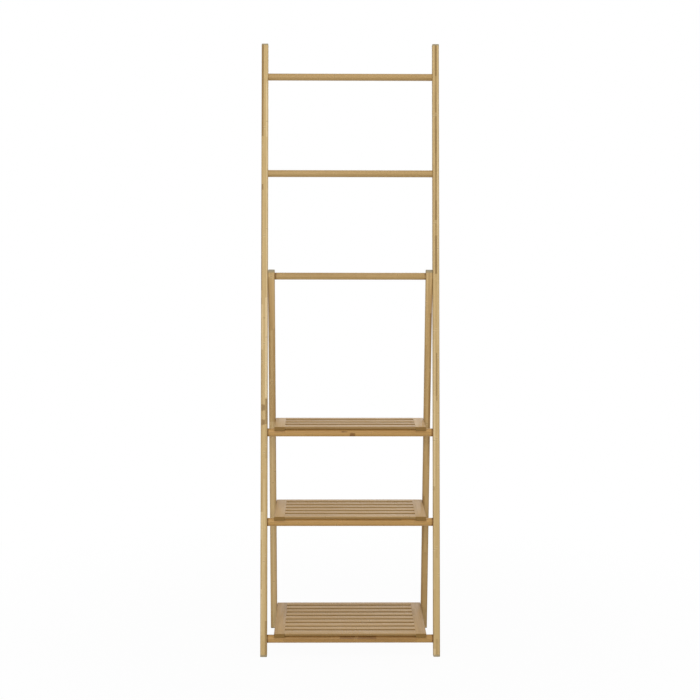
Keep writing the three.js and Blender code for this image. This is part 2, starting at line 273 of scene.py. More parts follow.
def sunk_head_cutter(fastener, face):
    """Room for a sunk head in a post's outer face, with an eased rim, and the shank's hole"""
    head = fastener["head"] + HEAD_CLEARANCE
    shank = fastener["radius"] + HOLE_CLEARANCE
    floor = face - HEAD_SINK - fastener["head_depth"]
    mouth = face - RIM_EDGE
    cutter = rod(floor, mouth, head, HOLE_SIDES)
    draw_out(cutter, floor, face - POST_WIDTH - PAST, head - shank)
    flare = (head + 2 * RIM_EDGE) / head
    draw_out_scaled(cutter, mouth, mouth + 2 * RIM_EDGE, flare, flare)
    return cutter


def placed(piece, name, node, body, matrix, material, slot_name):
    """Names the piece, puts it in its place, and lets it ride there instead of its CAD node"""
    piece.name = name
    piece.data.name = name
    piece.matrix_world = matrix
    only(piece)
    settled()
    bpy.ops.object.mode_set(mode="EDIT")
    bpy.ops.mesh.select_all(action="SELECT")
    bpy.ops.mesh.remove_doubles(threshold=VERY_NEAR)
    bpy.ops.mesh.normals_make_consistent(inside=False)
    bpy.ops.object.mode_set(mode="OBJECT")
    bpy.ops.object.shade_smooth_by_angle(angle=SHARP_FROM)
    piece.data.materials.clear()
    piece.data.materials.append(material)
    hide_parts(node)
    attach(piece, body)


def place_copies(shape, copies):
    """Puts a copy of the shape, with its own mesh, in each place, and the shape in the last"""
    for copy in copies[:-1]:
        other = shape.copy()
        other.data = shape.data.copy()
        bpy.context.scene.collection.objects.link(other)
        placed(other, *copy)
    placed(shape, *copies[-1])


# ---------------------------------------------------------------- nodes
def put(tree, socket, value):
    if isinstance(value, bpy.types.NodeSocket):
        tree.links.new(value, socket)
    else:
        socket.default_value = value


def add(tree, kind, inputs=None, **settings):
    made = tree.nodes.new(kind)
    for key, value in settings.items():
        setattr(made, key, value)
    for key, value in (inputs or {}).items():
        put(tree, made.inputs[key], value)
    return made


def calc(tree, operation, *values, clamp=False):
    made = add(tree, "ShaderNodeMath", dict(enumerate(values)), operation=operation)
    made.use_clamp = clamp
    return made.outputs[0]


def swing(tree, value, amount):
    """A value from 0 to 1 as a swing about zero"""
    return calc(tree, "MULTIPLY", calc(tree, "SUBTRACT", value, 0.5), amount)


def total(tree, *values):
    result = values[0]
    for value in values[1:]:
        result = calc(tree, "ADD", result, value)
    return result


def blend(tree, amount, first, second, mode="MIX"):
    made = add(tree, "ShaderNodeMix", data_type="RGBA", blend_type=mode)
    colours = [socket for socket in made.inputs if socket.type == "RGBA"]
    put(tree, made.inputs[0], amount)
    put(tree, colours[0], first)
    put(tree, colours[1], second)
    return next(socket for socket in made.outputs if socket.type == "RGBA")


def step(tree, value, start, end, low=0.0, high=1.0):
    """A soft step from `low` to `high` as the value goes from `start` to `end`"""
    inputs = {0: value, 1: start, 2: end, 3: low, 4: high}
    return add(tree, "ShaderNodeMapRange", inputs, interpolation_type="SMOOTHSTEP").outputs[0]


def noise(tree, place, scale, detail=2.0, rough=0.5):
    inputs = {"Vector": place, "Scale": scale, "Detail": detail, "Roughness": rough}
    return add(tree, "ShaderNodeTexNoise", inputs).outputs[0]


def cells(tree, place, random):
    inputs = {"Vector": place, "Scale": 1.0, "Randomness": random}
    return add(tree, "ShaderNodeTexVoronoi", inputs).outputs["Distance"]


def vector(tree, operation, first, second):
    return add(tree, "ShaderNodeVectorMath", {0: first, 1: second}, operation=operation).outputs[0]


def axes(tree, value):
    return add(tree, "ShaderNodeSeparateXYZ", {0: value}).outputs


def joined(tree, *values):
    return add(tree, "ShaderNodeCombineXYZ", dict(enumerate(values))).outputs[0]


def chances_of(tree, cell):
    """Three chance values from 0 to 1 that belong to a cell"""
    return axes(tree, add(tree, "ShaderNodeTexWhiteNoise", {"Vector": cell}).outputs["Color"])


def new_group(name, inputs, outputs):
    group = bpy.data.node_groups.new(name, "ShaderNodeTree")
    for label, kind in inputs:
        group.interface.new_socket(name=label, in_out="INPUT", socket_type=kind)
    for label, kind in outputs:
        group.interface.new_socket(name=label, in_out="OUTPUT", socket_type=kind)
    given = group.nodes.new("NodeGroupInput").outputs
    sink = group.nodes.new("NodeGroupOutput").inputs
    return group, given, sink


def grouped(tree, group, **inputs):
    """The outputs of a node group, placed in the tree with its own values"""
    return add(tree, "ShaderNodeGroup", inputs, node_tree=group).outputs


FLOAT, COLOR, VECTOR = "NodeSocketFloat", "NodeSocketColor", "NodeSocketVector"


def strip_stretch_group():
    """Changes the tone on a stretch of a strip, fading out over a short way around it"""
    t, given, sink = new_group(
        "strip_stretch",
        [
            ("Place", VECTOR),
            ("Start", FLOAT),
            ("End", FLOAT),
            ("Left", FLOAT),
            ("Right", FLOAT),
            ("Fade Along", FLOAT),
            ("Fade Across", FLOAT),
            ("Change", FLOAT),
            ("Tone Before", FLOAT),
        ],
        [("Tone", FLOAT)],
    )
    along, across, _ = axes(t, given["Place"])
    waver_place = vector(t, "MULTIPLY", given["Place"], (9.0, 200.0, 200.0))
    across = calc(t, "ADD", across, swing(t, noise(t, waver_place, 1.0), 0.0012))

    def between(value, low, high, fade):
        rise = step(t, value, given[low], calc(t, "ADD", given[low], given[fade]))
        fall_start = calc(t, "SUBTRACT", given[high], given[fade])
        fall = step(t, value, fall_start, given[high], 1.0, 0.0)
        return calc(t, "MULTIPLY", rise, fall)

    lengthwise = between(along, "Start", "End", "Fade Along")
    crosswise = between(across, "Left", "Right", "Fade Across")
    mask = calc(t, "MULTIPLY", lengthwise, crosswise)
    tone = calc(t, "MULTIPLY_ADD", mask, given["Change"], given["Tone Before"])
    put(t, sink["Tone"], tone)
    return t


def bamboo_group():
    """Laminated bamboo, grain along X: butt-joined strips, fibres, growth rings, end grain"""
    t, given, sink = new_group(
        "laminated_bamboo",
        [
            ("Place", VECTOR),
            ("Facing", VECTOR),
            ("Strip Width", FLOAT),
            ("Strip Depth", FLOAT),
            ("Strip Length", FLOAT),
            ("Strip Contrast", FLOAT),
            ("Strip Tone", FLOAT),
            ("Seed", FLOAT),
            ("Ring Spacing", FLOAT),
            ("Ring Shift", FLOAT),
            ("Pale", COLOR),
            ("Honey", COLOR),
            ("Brown", COLOR),
            ("End Grain And Face Shade", COLOR),
            ("Low End", FLOAT),
            ("High End", FLOAT),
            ("Narrow Face Shade", FLOAT),
            ("Half Width", FLOAT),
            ("Half Depth", FLOAT),
            ("Edge Painted Shade", FLOAT),
            ("Wear", FLOAT),
        ],
        [("Color", COLOR), ("Roughness", FLOAT), ("Height", FLOAT)],
    )
    place = given["Place"]
    along, across, through = axes(t, place)

    # Strips across and through the piece, each made of lengths that are joined end to end
    strip_place = calc(t, "ADD", calc(t, "DIVIDE", across, given["Strip Width"]), 0.5)
    layer_place = calc(t, "ADD", calc(t, "DIVIDE", through, given["Strip Depth"]), 0.5)
    strip_number, layer_number = (calc(t, "FLOOR", value) for value in (strip_place, layer_place))
    strip_cell = joined(t, strip_number, layer_number, given["Seed"])
    strip_chances = chances_of(t, strip_cell)
    length_place = calc(t, "DIVIDE", along, given["Strip Length"])
    length_place = calc(t, "ADD", length_place, calc(t, "MULTIPLY", strip_chances[2], 9.0))
    length_shift = joined(t, calc(t, "FLOOR", length_place))
    spread_cell = vector(t, "MULTIPLY", strip_cell, (17.0, 53.0, 1.0))
    length_cell = vector(t, "ADD", spread_cell, length_shift)
    chances = chances_of(t, length_cell)
    own_part = vector(t, "MULTIPLY", length_cell, (37.1, 17.7, 91.3))

    def grained(along_scale, across_scale):
        scaled = vector(t, "MULTIPLY", place, (along_scale, across_scale, across_scale))
        return vector(t, "ADD", scaled, own_part)

    # Tone: slow drift, streaks and fine fibres along the grain
    drift = noise(t, grained(2.6, 30.0), 1.0)
    streaks = noise(t, grained(7.0, 850.0), 1.0, 3.0, 0.6)
    fibres = noise(t, grained(45.0, 3600.0), 1.0)
    own_tone = swing(t, chances[0], given["Strip Contrast"])
    swings = [swing(t, drift, 0.5), swing(t, streaks, 0.6), swing(t, fibres, 0.3)]
    tone = total(t, own_tone, given["Strip Tone"], *swings)
    tone = calc(t, "ADD", tone, 0.5, clamp=True)
    colour = blend(t, step(t, tone, 0.02, 0.5), given["Brown"], given["Honey"])
    colour = blend(t, step(t, tone, 0.5, 0.98), colour, given["Pale"])

    # Short dark vessels along the fibres
    vessels = step(t, cells(t, grained(130.0, 2300.0), 1.0), 0.16, 0.34, 1.0, 0.0)
    colour = blend(t, calc(t, "MULTIPLY", vessels, 0.28), colour, given["Brown"])

    # Growth rings: a thin dark line in a paler, slightly raised band
    wander = swing(t, noise(t, grained(8.0, 260.0), 1.0), 0.01)
    ring = calc(t, "DIVIDE", along, given["Ring Spacing"])
    ring = total(t, ring, given["Ring Shift"], strip_chances[1], wander)
    offset = calc(t, "SUBTRACT", calc(t, "FRACT", ring), 0.5)
    away = calc(t, "MULTIPLY", calc(t, "ABSOLUTE", offset), given["Ring Spacing"])
    ring_line = step(t, away, 0.0002, 0.0012, 1.0, 0.0)
    ring_band = step(t, away, 0.001, 0.007, 1.0, 0.0)
    dark = blend(t, 1.0, given["Brown"], (0.66, 0.60, 0.54, 1.0), "MULTIPLY")
    colour = blend(t, calc(t, "MULTIPLY", ring_band, 0.35), colour, given["Pale"])
    colour = blend(t, calc(t, "MULTIPLY", ring_line, 0.55), colour, dark)

    # Glue lines between strips and at their butt joints
    beside = calc(t, "MULTIPLY", calc(t, "PINGPONG", strip_place, 0.5), given["Strip Width"])
    above = calc(t, "MULTIPLY", calc(t, "PINGPONG", layer_place, 0.5), given["Strip Depth"])
    butt = calc(t, "MULTIPLY", calc(t, "PINGPONG", length_place, 0.5), given["Strip Length"])
    nearest = calc(t, "MINIMUM", calc(t, "MINIMUM", beside, above), butt)
    glue = step(t, nearest, 0.00004, 0.00018, 1.0, 0.0)
    colour = blend(t, calc(t, "MULTIPLY", glue, 0.3), colour, given["Brown"])

    # Painted shade along the long edges, where the rounded edges turn from the light, and real
    # wear along them
    room_across = calc(t, "SUBTRACT", given["Half Width"], calc(t, "ABSOLUTE", across))
    room_through = calc(t, "SUBTRACT", given["Half Depth"], calc(t, "ABSOLUTE", through))
    rub = swing(t, noise(t, grained(22.0, 120.0), 1.0, 3.0), 0.0022)
    to_edge = total(t, room_across, room_through, rub)
    shade = calc(t, "MULTIPLY", step(t, to_edge, 0.001, 0.0034, 1.0, 0.0), given["Edge Painted Shade"])
    colour = blend(t, shade, colour, given["Brown"])
    worn = calc(t, "MULTIPLY", step(t, to_edge, 0.0004, 0.0013, 1.0, 0.0), given["Wear"])
    colour = blend(t, calc(t, "MULTIPLY", worn, 0.55), colour, given["Pale"])

    # Painted shade: the narrow faces are darkened toward the end-grain colour, where they fall in
    # shade
    facing_along, facing_across, _ = axes(t, given["Facing"])
    narrow = step(t, calc(t, "ABSOLUTE", facing_across), 0.5, 0.9)
    narrow = calc(t, "MULTIPLY", narrow, given["Narrow Face Shade"])
    colour = blend(t, narrow, colour, given["End Grain And Face Shade"])

    # End grain: dark fibre bundles in a dull ground
    end = step(t, calc(t, "ABSOLUTE", facing_along), 0.35, 0.8)
    below_top = calc(t, "SUBTRACT", given["High End"], along)
    above_foot = calc(t, "SUBTRACT", along, given["Low End"])
    # Faces within a few millimetres of each end are also darkened toward the end-grain colour
    near_end_band = step(t, calc(t, "MINIMUM", below_top, above_foot), 0.0035, 0.0065, 0.75, 0.0)
    end = calc(t, "MAXIMUM", end, near_end_band)
    bundle_place = vector(t, "MULTIPLY", place, (0.0, 1500.0, 1500.0))
    bundles = step(t, cells(t, bundle_place, 0.9), 0.18, 0.42, 1.0, 0.0)
    end_colour = blend(t, calc(t, "MULTIPLY", bundles, 0.55), given["End Grain And Face Shade"], dark)
    colour = blend(t, end, colour, end_colour)

    # Duller where it is handled and on end grain, smoother where it is worn
    handled = step(t, noise(t, grained(9.0, 60.0), 1.0, 4.0, 0.6), 0.25, 0.8, 0.42, 0.58)
    rough = total(t, handled, swing(t, streaks, 0.12), calc(t, "MULTIPLY", end, 0.2))
    rough = calc(t, "MULTIPLY_ADD", worn, -0.08, rough, clamp=True)

    height = total(
        t,
        calc(t, "MULTIPLY", streaks, 0.35),
        calc(t, "MULTIPLY", fibres, 0.35),
        calc(t, "MULTIPLY", vessels, -0.35),
        calc(t, "MULTIPLY", glue, -0.55),
        calc(t, "MULTIPLY", ring_band, 0.45),
        calc(t, "MULTIPLY", ring_line, -0.5),
        calc(t, "MULTIPLY", calc(t, "MULTIPLY", bundles, end), -0.5),
    )
    put(t, sink["Color"], colour)
    put(t, sink["Roughness"], rough)
    put(t, sink["Height"], height)
    return t


def new_material(name):
    material = bpy.data.materials.new(name)
    material.use_nodes = True
    tree = material.node_tree
    tree.nodes.clear()
    shader = add(tree, "ShaderNodeBsdfPrincipled")
    add(tree, "ShaderNodeOutputMaterial", {"Surface": shader.outputs[0]})
    return material, tree, shader


def raise_surface(tree, shader, height, strength, distance):
    inputs = {"Height": height, "Strength": strength, "Distance": distance}
    put(tree, shader.inputs["Normal"], add(tree, "ShaderNodeBump", inputs).outputs[0])


def tint(*rgb):
    """A colour given as it looks on a screen, from 0 to 255"""
    shares = [value / 255 for value in rgb]
    linear = [s / 12.92 if s <= 0.04045 else ((s + 0.055) / 1.055) ** 2.4 for s in shares]
    return (*linear, 1.0)


LAMINATED_BAMBOO = bamboo_group()
STRIP_STRETCH = strip_stretch_group()

# In each finish below, one amount sets the painted shade along the long edges and another the
# painted shade on the narrow faces, whose colour is the end-grain colour
POST_FINISH = {
    "Strip Width": 0.0065,
    "Strip Depth": 0.0255,
    "Strip Length": 0.46,
    "Strip Contrast": 0.45,
    "Ring Spacing": 0.31,
    "Pale": tint(225, 200, 152),
    "Honey": tint(201, 171, 115),
    "Brown": tint(148, 117, 66),
    "End Grain And Face Shade": tint(158, 147, 118),
    "Low End": 0.0,
    "High End": RAIL_LENGTH,
    "Narrow Face Shade": 0.0,
    "Half Width": POST_WIDTH / 2,
    "Half Depth": POST_DEPTH / 2,
    "Edge Painted Shade": 0.5,
    "Wear": 0.35,
}
LEG_FINISH = {
    **POST_FINISH,
    "Pale": tint(219, 192, 141),
    "Honey": tint(199, 167, 112),
    "Brown": tint(150, 114, 62),
    "Low End": -pivot.z / math.cos(LEG_SPLAY),
    "High End": LEG_PAST_PIVOT,
}
BAR_FINISH = {
    "Strip Width": 0.0076,
    "Strip Depth": 0.023,
    "Strip Length": 0.9,
    "Strip Contrast": 0.25,
    "Ring Spacing": 0.33,
    "Pale": tint(200, 169, 114),
    "Honey": tint(182, 149, 95),
    "Brown": tint(134, 99, 52),
    "End Grain And Face Shade": tint(140, 112, 70),
    "Low End": -1.0,
    "High End": 1.0,
    "Narrow Face Shade": 0.0,
    "Half Width": SHELF_BAR_DIAMETER,
    "Half Depth": SHELF_BAR_DIAMETER,
    "Edge Painted Shade": 0.0,
    "Wear": 0.0,
}
SHELF_BAR_FINISH = {
    **BAR_FINISH,
    "Pale": tint(207, 168, 105),
    "Honey": tint(191, 149, 86),
    "Brown": tint(135, 95, 45),
}
BOARD_FINISH = {
    "Strip Width": 0.0125,
    "Strip Depth": 0.0125,
    "Strip Length": 0.8,
    "Strip Contrast": 0.22,
    "Ring Spacing": 0.24,
    "Pale": tint(213, 181, 133),
    "Honey": tint(196, 162, 112),
    "Brown": tint(144, 110, 65),
    "End Grain And Face Shade": tint(140, 108, 58),
    "Low End": -1.0,
    "High End": 1.0,
    "Narrow Face Shade": 0.7,
    "Edge Painted Shade": 0.15,
    "Wear": 0.35,
}

# What the numbers of a change of tone mean, the last two being how far it fades out at its edges
CHANGE_LABELS = ("Start", "End", "Left", "Right", "Change", "Fade Along", "Fade Across")
SQUARE_ENDS = (0.001, 0.0006)
SOFT_EDGES = (0.006, 0.003)

LACQUERED = {"Specular IOR Level": 0.35, "Coat Weight": 0.06, "Coat Roughness": 0.35}
OILED = {"Specular IOR Level": 0.2}


def bamboo(name, finish, polish, grain, seed, ring_shift, stretches=(), marks=()):
    """Bamboo with its grain along X of the matrix `grain`.

    `stretches` change the tone of parts of strips, cut off square. `marks` do so with soft edges.
    """
    material, tree, shader = new_material(name)
    coordinates = add(tree, "ShaderNodeTexCoord").outputs
    to_grain = grain.inverted()
    turn = to_grain.to_euler("XYZ")
    place_inputs = {"Vector": coordinates["Object"], "Location": to_grain.to_translation()}
    place = add(tree, "ShaderNodeMapping", {**place_inputs, "Rotation": turn}).outputs[0]
    facing_inputs = {"Vector": coordinates["Normal"], "Rotation": turn}
    facing = add(tree, "ShaderNodeMapping", facing_inputs).outputs[0]
    tone = 0.0
    for numbers, fades in [(s, SQUARE_ENDS) for s in stretches] + [(m, SOFT_EDGES) for m in marks]:
        change = dict(zip(CHANGE_LABELS, (*numbers, *fades)))
        tone = grouped(tree, STRIP_STRETCH, Place=place, **{"Tone Before": tone}, **change)["Tone"]
    values = {"Strip Tone": tone, "Ring Shift": ring_shift, **finish}
    wood = grouped(tree, LAMINATED_BAMBOO, Place=place, Facing=facing, Seed=seed, **values)
    put(tree, shader.inputs["Base Color"], wood["Color"])
    put(tree, shader.inputs["Roughness"], wood["Roughness"])
    raise_surface(tree, shader, wood["Height"], 0.28, 0.00012)
    for key, value in polish.items():
        shader.inputs[key].default_value = value
    return material


def zinc_plating():
    """Cloudy bright plating with turning marks and fine grit"""
    material, tree, shader = new_material("zinc_plating")
    place = add(tree, "ShaderNodeTexCoord").outputs["Object"]
    cloud = noise(tree, place, 900.0, 4.0, 0.6)
    grit = noise(tree, place, 9000.0)
    marks = noise(tree, vector(tree, "MULTIPLY", place, (20000.0, 900.0, 900.0)), 1.0)
    colour = blend(tree, step(tree, cloud, 0.3, 0.7), tint(160, 162, 165), tint(203, 205, 208))
    put(tree, shader.inputs["Base Color"], colour)
    rough = calc(tree, "ADD", step(tree, cloud, 0.3, 0.75, 0.46, 0.28), swing(tree, grit, 0.1))
    put(tree, shader.inputs["Roughness"], rough)
    raise_surface(tree, shader, calc(tree, "ADD", marks, grit), 0.2, 0.00002)
    shader.inputs["Metallic"].default_value = 1.0
    return material


def moulded_nylon():
    material, tree, shader = new_material("moulded_nylon")
    place = add(tree, "ShaderNodeTexCoord").outputs["Object"]
    cloud = noise(tree, place, 260.0, 3.0)
    colour = blend(tree, cloud, tint(218, 212, 198), tint(236, 232, 222))
    put(tree, shader.inputs["Base Color"], colour)
    put(tree, shader.inputs["Roughness"], step(tree, cloud, 0.2, 0.8, 0.45, 0.6))
    raise_surface(tree, shader, noise(tree, place, 4200.0), 0.15, 0.00003)
    return material


ZINC_PLATING = zinc_plating()
MOULDED_NYLON = moulded_nylon()


def grain_along_z(x_middle):
    """In a post's frame: X of the pattern runs up the post, and Y across its front"""
    return Matrix(((0, 1, 0, x_middle), (0, 0, 1, 0), (1, 0, 0, 0), (0, 0, 0, 1)))


def grain_along_y(x_middle):
    """In a shelf's frame: X of the pattern runs from front to rear"""
    return Matrix(((0, -1, 0, x_middle), (1, 0, 0, 0), (0, 0, 1, 0), (0, 0, 0, 1)))


# Left and right edge of each strip of a post, seen from the front
LEFT_STRIP = (-0.0110, -0.00325)
MIDDLE_STRIP = (-0.00325, 0.00325)
RIGHT_STRIP = (0.00325, 0.0110)

# Darker and paler stretches of strip: start and end up the post, left and right edge, change. On
# the rails they are partly the strips' own tone and partly painted light and shade: an edge strip
# is lightened on the side the light falls from and darkened on the other, and strips at the feet
# are darkened as painted contact shadow.
RAIL_TONES_AND_PAINTED_LIGHT = {
    "left": [
        (1.000, 1.800, *LEFT_STRIP, -0.20),
        (1.345, 1.485, *LEFT_STRIP, 0.25),
        (1.040, 1.345, -0.0110, -0.0062, -0.55),
        (0.733, 1.019, -0.0110, -0.0075, -0.40),
        (0.733, 1.019, 0.0020, 0.0110, 0.25),
        (0.190, 0.330, -0.0110, -0.0048, -0.36),
        (-0.010, 1.000, *LEFT_STRIP, 0.10),
        (0.731, 1.640, *RIGHT_STRIP, 0.16),
        (0.960, 1.506, 0.0050, 0.0110, 0.30),
        (-0.010, 0.960, *MIDDLE_STRIP, 0.18),
        (0.657, 0.731, *RIGHT_STRIP, -0.44),
        (-0.010, 0.657, *RIGHT_STRIP, -0.26),
        (-0.010, 0.060, *LEFT_STRIP, -0.16),
    ],
    "right": [
        (0.900, 1.800, *LEFT_STRIP, -0.12),
        (1.088, 1.800, *MIDDLE_STRIP, -0.40),
        (1.436, 1.506, *MIDDLE_STRIP, -0.40),
        (1.243, 1.300, *MIDDLE_STRIP, -0.40),
        (1.088, 1.186, *MIDDLE_STRIP, -0.25),
        (0.724, 0.862, 0.0, 0.0035, -0.4),
        (-0.010, 0.724, *MIDDLE_STRIP, -0.10),
        (-0.010, 0.470, *LEFT_STRIP, 0.22),
        (0.690, 1.150, *RIGHT_STRIP, 0.32),
        (-0.010, 0.690, *RIGHT_STRIP, -0.20),
        (0.190, 0.340, *LEFT_STRIP, 0.12),
        (-0.010, 0.050, *MIDDLE_STRIP, -0.20),
    ],
}
RAIL_MARKS = {
    "left": [
        (0.694, 0.717, -0.0085, 0.0045, -0.50),
        (0.654, 0.674, -0.0085, 0.0045, -0.50),
        (0.655, 0.666, -0.0085, 0.0010, -0.25),
        (0.167, 0.179, -0.0110, -0.0045, -0.35),
    ],
}
# On the legs the stretches are partly the strips' own tone and partly painted shade: the strips
# beside the rails are darkened in their upper part as painted shade cast by the rails
LEG_TONES_AND_PAINTED_SHADE = {
    "left": [
        (-0.30, 0.0, *LEFT_STRIP, -0.2),
        (-1.10, -0.43, *LEFT_STRIP, 0.20),
        (-1.10, -0.43, *MIDDLE_STRIP, 0.36),
        (-1.10, -0.43, *RIGHT_STRIP, 0.40),
    ],
    "right": [
        (-1.10, 0.03, *MIDDLE_STRIP, -0.16),
        (-0.50, -0.05, *LEFT_STRIP, -0.12),
        (-0.50, -0.05, *RIGHT_STRIP, -0.16),
        (-1.10, -0.50, *RIGHT_STRIP, -0.10),
        (-1.10, -0.50, *LEFT_STRIP, -0.10),
    ],
}

# Along a bar the stretches go from left to right, and across it from the underside upwards. The
# darkened ends beside the rails and the legs are painted shade, and the bottom shelf's bar is
# darkened between the shelf's sides as painted shadow of the shelf's front lip.
BAR_END_PAINTED_SHADE = [(-0.240, -0.2325, -0.02, 0.02, -0.6), (0.2315, 0.240, -0.02, 0.02, -0.6)]
BAR_TONES_AND_PAINTED_SHADE = {
    "pivot_bar": [(-0.220, -0.2110, -0.02, 0.02, -0.5), (0.2120, 0.220, -0.02, 0.02, -0.3)],
    "shelf_bar_top": BAR_END_PAINTED_SHADE,
    "shelf_bar_middle": BAR_END_PAINTED_SHADE,
    "shelf_bar_bottom": [
        *BAR_END_PAINTED_SHADE,
        (-0.190, 0.190, -0.02, 0.02, -0.14),
        (-0.030, 0.075, 0.0, 0.02, -0.2),
    ],
}

BAR_MARKS = {
    "shelf_bar_top": [
        (-0.0270, -0.0050, -0.0010, 0.0045, -0.45),
        (-0.0270, -0.0150, -0.0015, 0.0050, -0.55),
        (-0.0035, 0.0175, -0.0140, 0.0005, -0.42),
        (-0.0035, 0.0100, -0.0140, -0.0015, -0.22),
    ],
}

# Change of tone of a whole shelf's side rails and slats, from end to end and side to side
WHOLE_BOARD = (-0.5, 0.5, -0.02, 0.02)
SIDE_STRETCHES = {"top": [(*WHOLE_BOARD, 0.10)], "bottom": [(*WHOLE_BOARD, -0.12)]}
SLAT_STRETCHES = {"top": [(*WHOLE_BOARD, -0.12)]}

# Each piece's seed, and where its growth rings fall, as a share of their spacing
RAIL_FIGURES = {"left": (3.0, 0.18), "right": (11.0, 0.52)}
LEG_FIGURES = {"left": (23.0, 0.35), "right": (31.0, 0.05)}
BAR_FIGURES = {
    "hanging_bar_top": (41.0, 0.10),
    "hanging_bar_lower": (42.0, 0.33),
    "shelf_bar_top": (57.0, 0.52),
    "shelf_bar_middle": (58.0, 0.21),
    "shelf_bar_bottom": (59.0, 0.44),
    "pivot_bar": (71.0, 0.71),
}

# Which way each side lies from the middle, seen from the front
SIDES = {"left": -1, "right": 1}


# ---------------------------------------------------------------- pieces
def post(low_end, high_end, foot_rise):
    """The right-hand post of a pair, along Z. Its foot rises by `foot_rise` from front to rear."""
    low = (RAIL_INNER, -POST_DEPTH / 2, low_end)
    high = (RAIL_OUTER, POST_DEPTH / 2, high_end)
    piece = block(low, high)
    for side in (-1, 1):
        edit(piece, "VERT", lambda v: abs(v.co.z - low_end) < NEAR and v.co.y * side > 0)
        bpy.ops.transform.translate(value=(0, 0, side * foot_rise / 2))
        leave_edit()
    narrow = POST_EDGE / POST_END_EDGE
    weights = [
        (runs_along(piece, 2), narrow),
        (runs_along(piece, 1), narrow),
        (runs_along(piece, 0), 1.0),
    ]
    soften(piece, POST_END_EDGE, 5, weights)
    return piece


def make_rails():
    shape = post(0, RAIL_LENGTH, POST_DEPTH * math.tan(RAIL_LEAN))
    bars = list(HANGING_BARS.values()) + list(SHELF_BARS.values())
    cutters = [shifted(sunk_head_cutter(FRAME_SCREW, RAIL_OUTER), 0, along) for along in bars]
    cutters.append(shifted(sunk_head_cutter(PIVOT_BOLT, RAIL_OUTER), 0, PIVOT_ALONG))
    cut(shape, cutters)
    copies = []
    for side, way in SIDES.items():
        node = f"rail_{side}"
        grain = FRONT_FRAME @ grain_along_z(way * (RAIL_OUTER - POST_WIDTH / 2))
        figure = (*RAIL_FIGURES[side], RAIL_TONES_AND_PAINTED_LIGHT[side], RAIL_MARKS.get(side, ()))
        wood = bamboo(f"bamboo_{node}", POST_FINISH, LACQUERED, grain, *figure)
        place = FRONT_FRAME @ MIRROR if way < 0 else FRONT_FRAME
        copies.append((f"{node}_post", node, "front_frame", place, wood, "bamboo_pale"))
    place_copies(shape, copies)


def make_legs():
    foot = -pivot.z / math.cos(LEG_SPLAY)
    shape = post(foot, LEG_PAST_PIVOT, -POST_DEPTH * math.tan(LEG_SPLAY))
    hole = PIVOT_BOLT["radius"] + HOLE_CLEARANCE
    cutters = [rod(RAIL_INNER - PAST, RAIL_OUTER + PAST, hole, HOLE_SIDES)]
    for hinge_frame in SHELF_FRAMES.values():
        up_the_leg = (REAR_FRAME.inverted() @ hinge_frame.translation).z
        cutters.append(shifted(sunk_head_cutter(HINGE_BOLT, RAIL_OUTER), 0, up_the_leg))
    cut(shape, cutters)
    inward = Matrix.Translation((LEG_OUTER - RAIL_OUTER, 0, 0))
    copies = []
    for side, way in SIDES.items():
        node = f"leg_{side}"
        grain = REAR_FRAME @ grain_along_z(way * (LEG_OUTER - POST_WIDTH / 2))
        figure = (*LEG_FIGURES[side], LEG_TONES_AND_PAINTED_SHADE[side])
        wood = bamboo(f"bamboo_{node}", LEG_FINISH, LACQUERED, grain, *figure)
        place = REAR_FRAME @ MIRROR @ inward if way < 0 else REAR_FRAME @ inward
        copies.append((f"{node}_post", node, "rear_frame", place, wood, "bamboo_pale"))
    place_copies(shape, copies)


def round_bar(diameter, half_length, fastener, grip):
    """A round bar with eased ends and a blind screw hole in each"""
    piece = rod(-half_length, half_length, diameter / 2, BAR_SIDES)
    soften(piece, BAR_END_EDGE, 3)
    hole = fastener["radius"] + HOLE_CLEARANCE
    hole_end = half_length - grip - HOLE_END_CLEARANCE
    for way in (-1, 1):
        draw_out(piece, way * half_length, way * hole_end, diameter / 2 - BAR_END_EDGE - hole)
    return piece


def bar_wood(name, place):
    grain = place @ Matrix.Rotation(math.pi / 2, 4, "X")
    figure = (*BAR_FIGURES[name], BAR_TONES_AND_PAINTED_SHADE.get(name, ()), BAR_MARKS.get(name, ()))
    finish = SHELF_BAR_FINISH if name in SHELF_BARS else BAR_FINISH
    return bamboo(f"bamboo_{name}", finish, LACQUERED, grain, *figure)


def socket_bolt(fastener, face):
    """A flat-headed bolt along X, head at the right, with a hexagon socket and a pointed tip"""
    top = face - HEAD_SINK
    under = top - fastener["head_depth"]
    tip = face - fastener["reach"]
    piece = rod(tip + TIP_LENGTH, under, fastener["radius"], SHANK_SIDES)
    draw_out_scaled(piece, tip + TIP_LENGTH, tip, TIP_SHARE, TIP_SHARE)
    spread = fastener["head"] / fastener["radius"]
    draw_out_scaled(piece, under, under, spread, spread)
    draw_out(piece, under, top)

    def on_top(edge):
        return all(abs(piece.data.vertices[i].co.x - top) < VERY_NEAR for i in edge.vertices)

    edit(piece, "EDGE", on_top)
    bpy.ops.mesh.bevel(offset=HEAD_EDGE, segments=3, affect="EDGES")
    leave_edit()
    corner = fastener["socket"] / 2 / math.cos(math.pi / SOCKET_SIDES)
    floor = top - SOCKET_SHARE * fastener["head_depth"]
    cut(piece, [rod(floor, top + PAST, corner, SOCKET_SIDES)])
    return piece


def steel(node, body, place, side):
    """The place of a screw or bolt, which is modelled for the right side"""
    if side == "left":
        place = place @ HALF_TURN
    return (f"{node}_steel", node, body, place, ZINC_PLATING, "zinc_steel")


def flat_ring(start, end, radius, hole):
    piece = rod(start, end, radius, HOLE_SIDES)
    cut(piece, [rod(start - PAST, end + PAST, hole, HOLE_SIDES)])
    return piece


